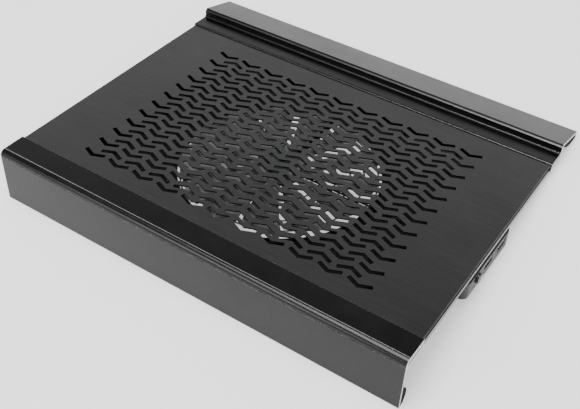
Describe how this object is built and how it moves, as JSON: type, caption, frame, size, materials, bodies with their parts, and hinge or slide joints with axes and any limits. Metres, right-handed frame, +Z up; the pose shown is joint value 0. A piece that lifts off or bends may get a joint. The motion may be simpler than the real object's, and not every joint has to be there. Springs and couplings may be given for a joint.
{
  "type": "laptop cooling pad",
  "caption": "Slotted dark aluminium laptop cooling pad with a raised rear leg rail, a front lip, a wide fan under the deck and a side box with USB sockets and a speed knob.",
  "frame": {"origin": "on the floor plane under the middle of the pad's footprint", "axes": "+X to the user's right along the rails, +Y to the rear, +Z up; the front lip is at -Y"},
  "size_m": [0.385, 0.322, 0.0492],
  "materials": {
    "deck_metal": "brushed, black anodised",
    "rear_rail_metal": "satin, black anodised",
    "lip_rail_metal": "satin, grey anodised",
    "side_trim": "satin anodised extrusion",
    "end_plug": "satin black moulding",
    "foot_rubber": "matte, fine grain",
    "pan_plastic": "fine moulded grain",
    "stud_metal": "turned, bare",
    "screw_steel": "zinc plated",
    "fan_plastic": "moulded",
    "guard_wire": "plated wire",
    "bearing_bronze": "sintered bronze",
    "stator_steel": "laminated core",
    "coil_copper": "enamelled copper wire",
    "circuit_board": "solder mask",
    "lead_insulation": "soft black insulation",
    "impeller_plastic": "moulded grey",
    "magnet": "bonded ferrite",
    "shaft_steel": "ground",
    "clip_plastic": "natural",
    "label_film": "printed film, blank",
    "box_plastic": "satin grey, fine grain",
    "socket_steel": "bright plated",
    "pot_plastic": "moulded",
    "knob_plastic": "satin black"
  },
  "bodies": {
    "chassis": {"deck_panel": "deck_metal", "rear_leg_rail": "rear_rail_metal", "front_lip_rail": "lip_rail_metal", "side_rail_left": "side_trim", "side_rail_right": "side_trim", "rear_plug_left": "end_plug", "rear_plug_right": "end_plug", "front_plug_left": "end_plug", "front_plug_right": "end_plug", "foot_rear_left": "foot_rubber", "foot_rear_right": "foot_rubber", "foot_front_left": "foot_rubber", "foot_front_right": "foot_rubber", "bottom_pan": "pan_plastic", "deck_studs": "stud_metal", "pan_screws": "screw_steel", "rail_screws": "screw_steel", "fan_frame": "fan_plastic", "fan_guard": "guard_wire", "fan_screws": "screw_steel", "fan_bearing": "bearing_bronze", "fan_stator": "stator_steel", "fan_coils": "coil_copper", "fan_circuit_board": "circuit_board", "fan_lead": "lead_insulation", "hub_upper_shell": "box_plastic", "hub_lower_shell": "box_plastic", "hub_circuit_board": "circuit_board", "usb_socket_front": "socket_steel", "usb_socket_rear": "socket_steel", "speed_potentiometer": "pot_plastic", "hub_screws": "screw_steel"},
    "impeller": {"fan_impeller": "impeller_plastic", "magnet_ring": "magnet", "fan_shaft": "shaft_steel", "shaft_clip": "clip_plastic", "hub_label": "label_film"},
    "knob": {"speed_knob": "knob_plastic", "knob_shaft": "shaft_steel"}
  },
  "joints": [
    {"name": "fan_spin", "type": "hinge", "parent": "chassis", "child": "impeller", "pos_m": [0, 0.02485, 0.02082], "axis": [0, -0.1378, 0.9905], "continuous": true},
    {"name": "speed_knob_turn", "type": "hinge", "parent": "chassis", "child": "knob", "pos_m": [-0.1917, 0.04313, 0.02003], "axis": [-1, 0, 0], "range_deg": [0, 270]}
  ]
}
